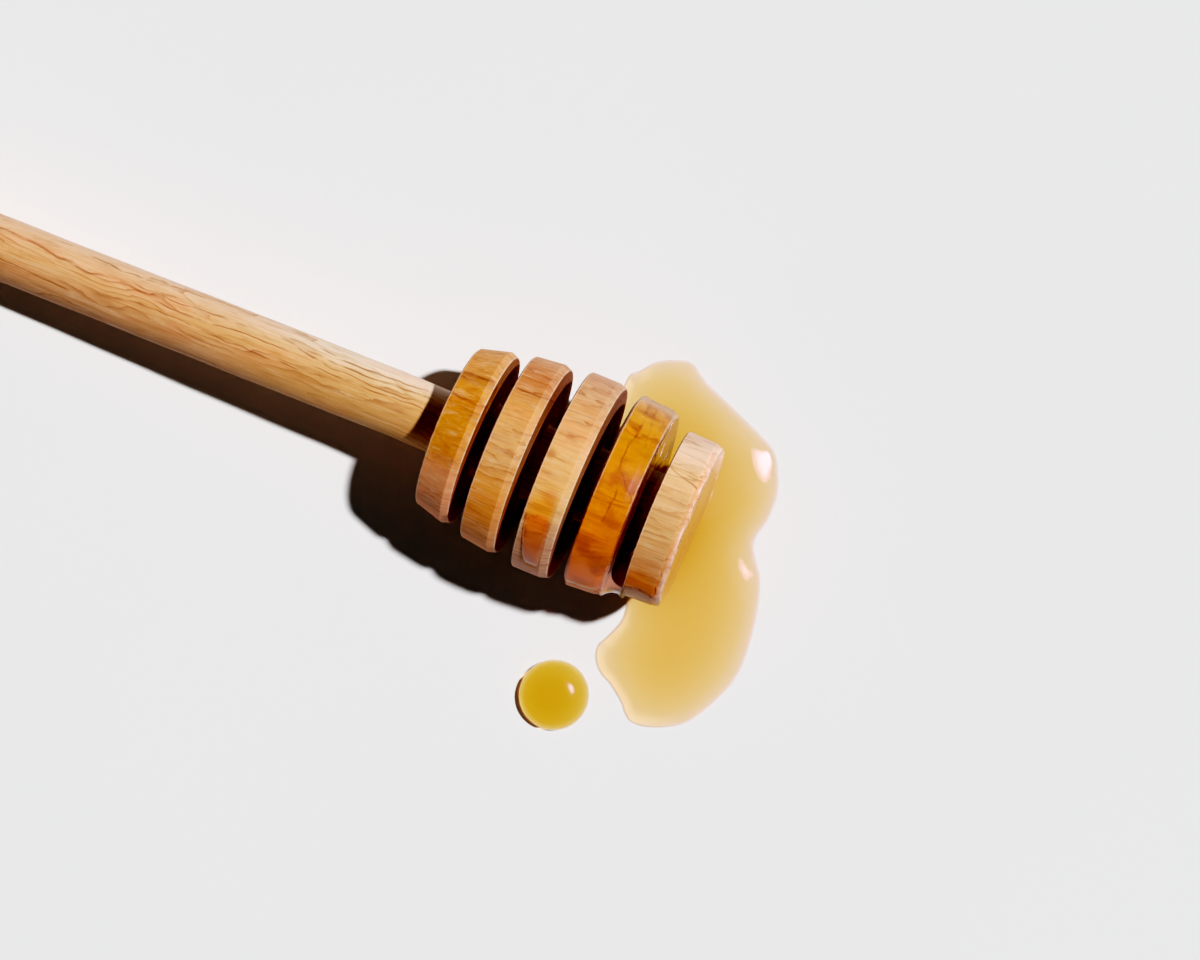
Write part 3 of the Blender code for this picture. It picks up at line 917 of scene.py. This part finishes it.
def wood_material():
    """Olive wood: tones round the handle and each disc, streaks and rings, veins and knots."""
    n = Nodes("olive_wood_turned")
    place = n.add("TexCoord").outputs["Object"]
    grain = n.add("Mapping", {
        "Vector": place, "Location": (0.0, SIDEWAYS * MM, LIFT * MM), "Rotation": (0.0, -TILT, 0.0),
        "Scale": (MM, MM, MM),
    }, vector_type="TEXTURE").outputs[0]
    along, across, up = n.add("SeparateXYZ", {0: grain}).outputs

    cloud = n.noise(n.stretch(grain, 0.05, 0.16, 0.16), 1.0, detail=3)
    figure = n.noise(n.stretch(grain, 0.16, 0.9, 0.9), 1.0, detail=4, roughness=0.62, distortion=0.6)
    streaks = n.noise(n.stretch(grain, 0.06, 3.0, 3.0), 1.0, detail=3, roughness=0.6)
    fibres = n.noise(n.stretch(grain, 0.5, 11.0, 11.0), 1.0, detail=2, roughness=0.6)
    pores = n.noise(n.stretch(grain, 0.9, 7.0, 7.0), 1.0, detail=1)

    turn = n.plus(0.5, n.maths("DIVIDE", n.maths("ARCTAN2", across, up), 2 * math.pi))
    turn = n.plus(turn, n.times(n.maths("SUBTRACT", figure, 0.5), 0.07))
    colour = wood_tone(n, turn, HANDLE_TONES, HANDLE_BACK_TONE)
    near_head = wood_tone(n, turn, NECK_TONES, HANDLE_BACK_TONE)
    towards_head = n.fade(n.plus(along, n.times(cloud, 30.0)), -45.0, -15.0)
    colour = n.mix(towards_head, colour, near_head)
    for back, tones in zip(DISC_BACKS, DISC_TONES):
        on_disc = n.fade(along, back - 1.3, back - 1.1)
        colour = n.mix(on_disc, colour, wood_tone(n, turn, tones, DISC_BACK_TONE))

    light = n.times(n.fade(figure, 0.5, 0.72), 0.32)
    colour = n.mix(light, colour, (0.80, 0.58, 0.30))
    dark = n.times(n.fade(figure, 0.5, 0.3), 0.35)
    colour = n.mix(dark, colour, (0.62, 0.50, 0.34), blend="MULTIPLY")
    thread = n.times(n.fade(streaks, 0.48, 0.75), 0.42)
    colour = n.mix(thread, colour, (0.72, 0.54, 0.36), blend="MULTIPLY")
    pale_thread = n.times(n.fade(streaks, 0.48, 0.3), 0.12)
    colour = n.mix(pale_thread, colour, (0.95, 0.74, 0.45))
    pore = n.times(n.fade(pores, 0.7, 0.78), 0.45)
    colour = n.mix(pore, colour, (0.5, 0.33, 0.2), blend="MULTIPLY")

    offset_y = n.plus(across, RINGS_BESIDE)
    offset_z = n.plus(up, RINGS_BELOW)
    squares = n.plus(n.times(offset_y, offset_y), n.times(offset_z, offset_z))
    rings = n.plus(n.maths("SQRT", squares), n.times(cloud, 9.0))
    on_head = n.fade(along, DISC_BACKS[0] - 4.0, DISC_BACKS[0])
    waviness = n.plus(0.7, n.times(on_head, 1.1))
    rings = n.plus(rings, n.times(figure, waviness))
    late = n.maths("POWER", n.maths("FRACT", n.maths("DIVIDE", rings, RING_SPACING)), 4.0)
    ring_strength = n.fade(n.noise(n.stretch(grain, 0.08, 0.4, 0.4), 1.0, detail=1), 0.4, 0.62)
    late = n.times(late, ring_strength)
    colour = n.mix(n.times(late, 0.75), colour, (0.52, 0.34, 0.2), blend="MULTIPLY")

    wobble = n.times(n.maths("SUBTRACT", streaks, 0.5), 1.2)
    sway = n.noise(n.stretch(grain, 0.3, 0.34, 0.34), 1.0, detail=1, roughness=0.4)
    swayed = n.plus(across, n.times(n.maths("SUBTRACT", sway, 0.5), 1.0))
    swayed_along = n.plus(along, n.times(n.maths("SUBTRACT", sway, 0.5), 1.2))
    marks = [vein(n, along, swayed, points, width) for points, width in GRAIN_VEINS]
    marks += [vein(n, across, swayed_along, points, width) for points, width in CROSS_VEINS]
    marks += [blotch(n, along, across, centre, half_size, wobble) for centre, half_size in KNOTS]
    mark = marks[0]
    for other in marks[1:]:
        mark = n.maths("MAXIMUM", mark, other)
    mark = n.times(mark, n.fade(up, 0.5, 2.0))
    patchy = n.noise(n.stretch(grain, 0.3, 0.5, 0.5), 1.0, detail=2)
    mark = n.times(mark, n.fade(patchy, 0.3, 0.6))
    colour = n.mix(n.times(mark, 0.7), colour, (0.48, 0.28, 0.16), blend="MULTIPLY")

    flush = n.noise(n.stretch(grain, 0.12, 0.3, 0.3), 1.0, detail=2)
    flush = n.times(n.fade(flush, 0.5, 0.7), 0.25)
    colour = n.mix(flush, colour, (1.12, 0.82, 0.86), blend="MULTIPLY")
    shade = n.plus(0.9, n.times(fibres, 0.2))
    colour = n.add("VectorMath", {0: colour, "Scale": shade}, operation="SCALE").outputs[0]
    colour = n.mix(1.0, colour, WOOD_BALANCE, blend="MULTIPLY")

    # Painted shade in the grooves: the discs' faces between one disc and the next are made much darker than end
    # grain alone would be, and stay light on the open tip face and the first disc's back. End grain also makes
    # these faces rougher.
    facing = n.add("VectorMath", {
        0: n.add("NewGeometry").outputs["Normal"], 1: (math.cos(TILT), 0.0, math.sin(TILT)),
    }, operation="DOT_PRODUCT").outputs["Value"]
    end_grain_and_groove_shade = n.times(n.fade(n.maths("ABSOLUTE", facing), 0.2, 0.8), 0.8)
    end_grain_and_groove_shade = n.times(end_grain_and_groove_shade, n.fade(along, TIP - 0.8, TIP - 1.2))
    end_grain_and_groove_shade = n.times(end_grain_and_groove_shade, n.fade(along, DISC_BACKS[0] + 0.5, DISC_BACKS[0] + 1.5))
    squares = n.plus(n.times(across, across), n.times(up, up))
    end_grain_and_groove_shade = n.times(end_grain_and_groove_shade, n.fade(n.maths("SQRT", squares), 7.5, 11.5))
    colour = n.mix(end_grain_and_groove_shade, colour, (0.42, 0.29, 0.32), blend="MULTIPLY")

    wet = n.attribute("honey_wet")
    colour = n.mix(wet, colour, n.mix(1.0, colour, (1.15, 0.72, 0.12), blend="MULTIPLY"))
    stain = n.times(n.times(n.fade(sway, 0.48, 0.66), wet), 0.7)
    colour = n.mix(stain, colour, (0.62, 0.42, 0.4), blend="MULTIPLY")
    # Painted glint and wear: the pale edge mark lightens the discs' edges.
    wear_and_glint = n.times(n.attribute("edge_wear_and_glint"), n.fade(n.plus(figure, streaks), 0.5, 1.2))
    colour = n.mix(n.times(wear_and_glint, 0.6), colour, (0.90, 0.68, 0.52))

    relief = n.plus(n.times(fibres, 0.6), n.times(late, -0.4))
    relief = n.plus(relief, n.times(streaks, 0.5))
    bump = n.add("Bump", {"Strength": 0.5, "Distance": 0.00005, "Height": relief}).outputs[0]
    roughness = n.plus(0.38, n.times(streaks, 0.22))
    roughness = n.plus(roughness, n.times(end_grain_and_groove_shade, 0.5), clamp=True)
    shader = n.add("BsdfPrincipled", {
        "Base Color": colour, "Roughness": roughness, "Normal": bump, "Specular IOR Level": 0.08,
    })
    n.plug(n.output.inputs["Surface"], shader.outputs[0])
    return n.material


def honey_material(name, density, green, roughness):
    """Clear golden honey. Lamps light what is behind it, brighter where its edge gathers the light."""
    n = Nodes(name)
    gathered = n.attribute("gathered_light")
    cloudy = n.attribute("cloudy_web")
    # Painted shade: the glass is tinted darker along the pool's rim, most on the side away from the key lamp.
    tint = n.mix(n.attribute("pool_rim_shade"), (1.0, 1.0, 1.0), (0.60, 0.52, 0.40))
    glass = n.add("BsdfPrincipled", {
        "Base Color": n.mix(cloudy, tint, (0.62, 0.27, 0.17)), "IOR": HONEY_IOR,
        "Roughness": n.plus(roughness, n.times(n.attribute("dull_coat"), 0.3)),
        "Transmission Weight": n.maths("SUBTRACT", 1.0, n.times(cloudy, 0.6)),
        "Specular Tint": (1.0, 0.80, 0.78, 1.0),
    })
    passing = n.add("BsdfTransparent", {"Color": n.mix(gathered, (0.84, 0.73, 0.84), (1.35, 1.25, 1.3))})
    blocked = n.add("BsdfTransparent", {"Color": (0.09, 0.025, 0.01, 1.0)})
    fresnel = n.add("Fresnel", {"IOR": 1 / HONEY_IOR}).outputs[0]
    glance = n.times(fresnel, n.maths("SUBTRACT", 1.0, gathered))
    lit = n.add("MixShader", {0: glance, 1: passing.outputs[0], 2: blocked.outputs[0]})
    ray = n.add("LightPath")
    surface = n.add("MixShader", {0: ray.outputs["Is Shadow Ray"], 1: glass.outputs[0], 2: lit.outputs[0]})
    depth = n.add("VolumeAbsorption", {"Color": (HONEY_RED, green, 0.0, 1.0), "Density": density})
    n.plug(n.output.inputs["Surface"], surface.outputs[0])
    n.plug(n.output.inputs["Volume"], depth.outputs[0])
    return n.material


def floor_material():
    n = Nodes("pale_floor")
    position = n.add("TexCoord").outputs["Object"]
    cloudy = n.noise(position, 9.0, detail=3)
    colour = n.ramp(cloudy, [(0.3, (0.795, 0.785, 0.788)), (0.7, (0.805, 0.795, 0.798))])
    shader = n.add("BsdfPrincipled", {"Base Color": colour, "Roughness": 0.9, "Specular IOR Level": 0.1})
    n.plug(n.output.inputs["Surface"], shader.outputs[0])
    return n.material


# The studio


def make_camera(origin):
    target = origin + Vector((VIEW_CENTRE[0], VIEW_CENTRE[1], 0.0)) * MM
    outwards = Vector((math.sin(VIEW_LEAN), 0.0, math.cos(VIEW_LEAN)))
    right = Vector((math.cos(VIEW_TURN), math.sin(VIEW_TURN), 0.0))
    right = (right - outwards * right.dot(outwards)).normalized()
    up = outwards.cross(right)
    data = bpy.data.cameras.new("camera")
    data.sensor_width = SENSOR_WIDTH
    data.lens = LENS
    data.clip_start = 0.01
    data.clip_end = 20.0
    camera = bpy.data.objects.new("camera", data)
    bpy.context.scene.collection.objects.link(camera)
    camera.matrix_world = Matrix.Translation(target + outwards * VIEW_DISTANCE * MM) @ Matrix(
        (right, up, outwards)
    ).transposed().to_4x4()
    bpy.context.scene.camera = camera


def add_sun(name, energy, angle, colour=(1.0, 1.0, 1.0)):
    data = bpy.data.lights.new(name, "SUN")
    data.energy = energy
    data.angle = angle
    data.color = colour
    lamp = bpy.data.objects.new(name, data)
    bpy.context.scene.collection.objects.link(lamp)
    lamp.rotation_euler = Vector(TOWARDS_SUN).to_track_quat("Z", "Y").to_euler()
    return lamp


def make_light():
    """One clear key light, a soft glow in its place that only glossy surfaces mirror, and a little fill."""
    key = add_sun("key", KEY_ENERGY, SUN_ANGLE)
    key.visible_glossy = False
    key.visible_transmission = False
    for degrees, radiance in GLOWS:
        angle = math.radians(degrees)
        glow = add_sun("glow", radiance * math.pi * (0.5 * angle) ** 2, angle, GLOW_COLOUR)
        glow.visible_diffuse = False
        glow.visible_transmission = False
    world = bpy.data.worlds.new("studio")
    bpy.context.scene.world = world
    world.use_nodes = True
    tree = world.node_tree
    tree.nodes.clear()
    output = tree.nodes.new("ShaderNodeOutputWorld")
    shown = None
    path = tree.nodes.new("ShaderNodeLightPath")
    for colour, ray in ((FILL, None), (MIRRORED_ROOM, "Is Glossy Ray"), (BACKDROP, "Is Camera Ray")):
        background = tree.nodes.new("ShaderNodeBackground")
        background.inputs["Color"].default_value = (*colour, 1.0)
        if ray:
            mix = tree.nodes.new("ShaderNodeMixShader")
            tree.links.new(path.outputs[ray], mix.inputs[0])
            tree.links.new(shown, mix.inputs[1])
            tree.links.new(background.outputs[0], mix.inputs[2])
            shown = mix.outputs[0]
        else:
            shown = background.outputs[0]
    tree.links.new(shown, output.inputs["Surface"])


def grade_picture():
    """The photograph's firm contrast: dark shadows, and soft bright tones."""
    view = bpy.context.scene.view_settings
    view.view_transform = "Standard"
    view.use_curve_mapping = True
    curve = view.curve_mapping.curves[3]
    while len(curve.points) < len(TONE_CURVE):
        curve.points.new(0.5, 0.5)
    for dot, place in zip(curve.points, TONE_CURVE):
        dot.location = place
    view.curve_mapping.update()


def make_floor():
    half = FLOOR_HALF
    points = [(-half, -half, 0), (half, -half, 0), (half, half, 0), (-half, half, 0)]
    floor = mesh_object("floor", points, [(0, 1, 2, 3)], floor_material(), smooth=False)


def main():
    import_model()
    origin = build_origin()
    make_camera(origin)
    make_light()
    grade_picture()
    make_floor()
    thin_honey = honey_material("clear_honey", density=400.0, green=0.736, roughness=0.05)
    deep_honey = honey_material("deep_honey", density=440.0, green=0.78, roughness=0.14)
    for piece, node, slot in (
        (make_dipper(wood_material(), origin), "dipper", "olive_wood"),
        (make_honey_pool(thin_honey, origin), "honey_pool", "honey"),
        (make_honey_drop(deep_honey, origin), "honey_drop", "honey"),
    ):
        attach(piece, "root")
        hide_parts(node)


main()
